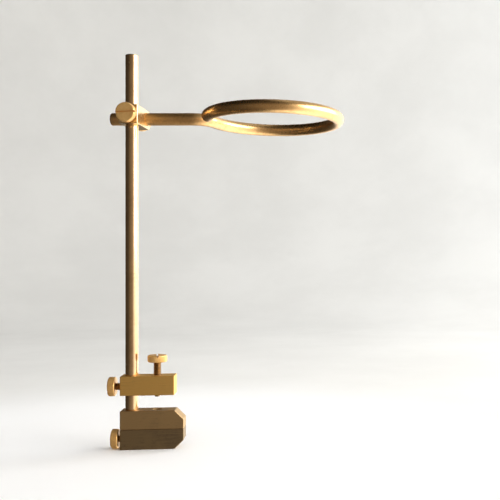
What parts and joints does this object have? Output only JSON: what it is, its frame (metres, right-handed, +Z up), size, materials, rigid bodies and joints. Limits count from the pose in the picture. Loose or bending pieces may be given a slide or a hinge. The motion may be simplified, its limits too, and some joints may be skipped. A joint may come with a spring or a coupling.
{
  "type": "clamp-on ring holder stand",
  "caption": "Slim brass stand: a round post in a two-bar foot with a clamping jaw, a sliding cross block and an arm bent into an open ring, locked by slotted thumb screws.",
  "frame": {"origin": "on the post's axis, on the underside of the foot block", "axes": "+Z up along the post, +X along the foot towards the open mouth of the jaws; the arm stands 7 degrees from +X towards -Y"},
  "size_m": [0.1513, 0.092, 0.25],
  "materials": {
    "foot_brass": "aged satin, darkest",
    "lower_jaw_brass": "aged satin",
    "jaw_brass": "satin, drawn",
    "head_brass": "satin, drawn",
    "post_brass": "aged satin, drawn along its length",
    "arm_brass": "aged satin",
    "knob_brass": "turned, bright",
    "thread_brass": "cut thread",
    "pad_brass": "turned, dull",
    "screw_steel": "dull"
  },
  "bodies": {
    "foot": {"foot_block": "foot_brass", "lower_jaw": "lower_jaw_brass", "joining_screw": "screw_steel"},
    "post": {"post": "post_brass"},
    "jaw": {"upper_jaw": "jaw_brass"},
    "head": {"cross_block": "head_brass"},
    "arm": {"ring_arm": "arm_brass", "arm_plug": "arm_brass", "ring_plug": "arm_brass"},
    "foot_lock_pad": {"foot_lock_pad": "pad_brass"},
    "foot_lock_screw": {"foot_lock_knob": "knob_brass", "foot_lock_stud": "thread_brass"},
    "jaw_lock_pad": {"jaw_lock_pad": "pad_brass"},
    "jaw_lock_screw": {"jaw_lock_knob": "knob_brass", "jaw_lock_stud": "thread_brass"},
    "clamp_pad": {"clamp_pad": "pad_brass"},
    "clamp_screw": {"clamp_knob": "knob_brass", "clamp_stud": "thread_brass"},
    "post_lock_pad": {"post_lock_pad": "pad_brass"},
    "post_lock_screw": {"post_lock_knob": "knob_brass", "post_lock_stud": "thread_brass"},
    "arm_lock_pad": {"arm_lock_pad": "pad_brass"},
    "arm_lock_screw": {"arm_lock_knob": "knob_brass", "arm_lock_stud": "thread_brass"}
  },
  "joints": [
    {"name": "post_turn", "type": "hinge", "parent": "foot", "child": "post", "pos_m": [0, 0, 0.002], "axis": [0, 0, 1], "continuous": true},
    {"name": "jaw_slide", "type": "slide", "parent": "foot", "child": "jaw", "axis": [0, 0, 1], "range_m": [-0.009, 0.038]},
    {"name": "head_slide", "type": "slide", "parent": "post", "child": "head", "axis": [0, 0, 1], "range_m": [-0.1, 0.0325]},
    {"name": "arm_reach", "type": "slide", "parent": "head", "child": "arm", "axis": [0.9925, -0.1219, 0], "range_m": [-0.026, 0.011]},
    {"name": "foot_lock_travel", "type": "slide", "parent": "foot", "child": "foot_lock_pad", "axis": [-1, 0, 0], "range_m": [0, 0.0012]},
    {"name": "foot_lock_turn", "type": "hinge", "parent": "foot_lock_pad", "child": "foot_lock_screw", "pos_m": [-0.0064, 0, 0.0062], "axis": [-1, 0, 0], "range_deg": [0, 540]},
    {"name": "jaw_lock_travel", "type": "slide", "parent": "jaw", "child": "jaw_lock_pad", "axis": [-1, 0, 0], "range_m": [0, 0.0012]},
    {"name": "jaw_lock_turn", "type": "hinge", "parent": "jaw_lock_pad", "child": "jaw_lock_screw", "pos_m": [-0.0064, 0, 0.0393], "axis": [-1, 0, 0], "range_deg": [0, 540]},
    {"name": "clamp_travel", "type": "slide", "parent": "jaw", "child": "clamp_pad", "axis": [0, 0, 1], "range_m": [-0.0075, 0.004]},
    {"name": "clamp_turn", "type": "hinge", "parent": "clamp_pad", "child": "clamp_screw", "pos_m": [0.0158, 0, 0.0463], "axis": [0, 0, 1], "range_deg": [-3375, 1800]},
    {"name": "post_lock_travel", "type": "slide", "parent": "head", "child": "post_lock_pad", "axis": [-0.1219, -0.9925, 0], "range_m": [0, 0.0012]},
    {"name": "post_lock_turn", "type": "hinge", "parent": "post_lock_pad", "child": "post_lock_screw", "pos_m": [-0.00099, -0.00804, 0.2114], "axis": [-0.1219, -0.9925, 0], "range_deg": [0, 540]},
    {"name": "arm_lock_travel", "type": "slide", "parent": "head", "child": "arm_lock_pad", "axis": [0.1219, 0.9925, 0], "range_m": [0, 0.0012]},
    {"name": "arm_lock_turn", "type": "hinge", "parent": "arm_lock_pad", "child": "arm_lock_screw", "pos_m": [0.00216, 0.01757, 0.2114], "axis": [0.1219, 0.9925, 0], "range_deg": [0, 540]}
  ],
  "couplings": [
    {"joint": "foot_lock_turn", "follows": "foot_lock_travel", "rad_per_m": 7854},
    {"joint": "jaw_lock_turn", "follows": "jaw_lock_travel", "rad_per_m": 7854},
    {"joint": "clamp_turn", "follows": "clamp_travel", "rad_per_m": 7854},
    {"joint": "post_lock_turn", "follows": "post_lock_travel", "rad_per_m": 7854},
    {"joint": "arm_lock_turn", "follows": "arm_lock_travel", "rad_per_m": 7854}
  ]
}
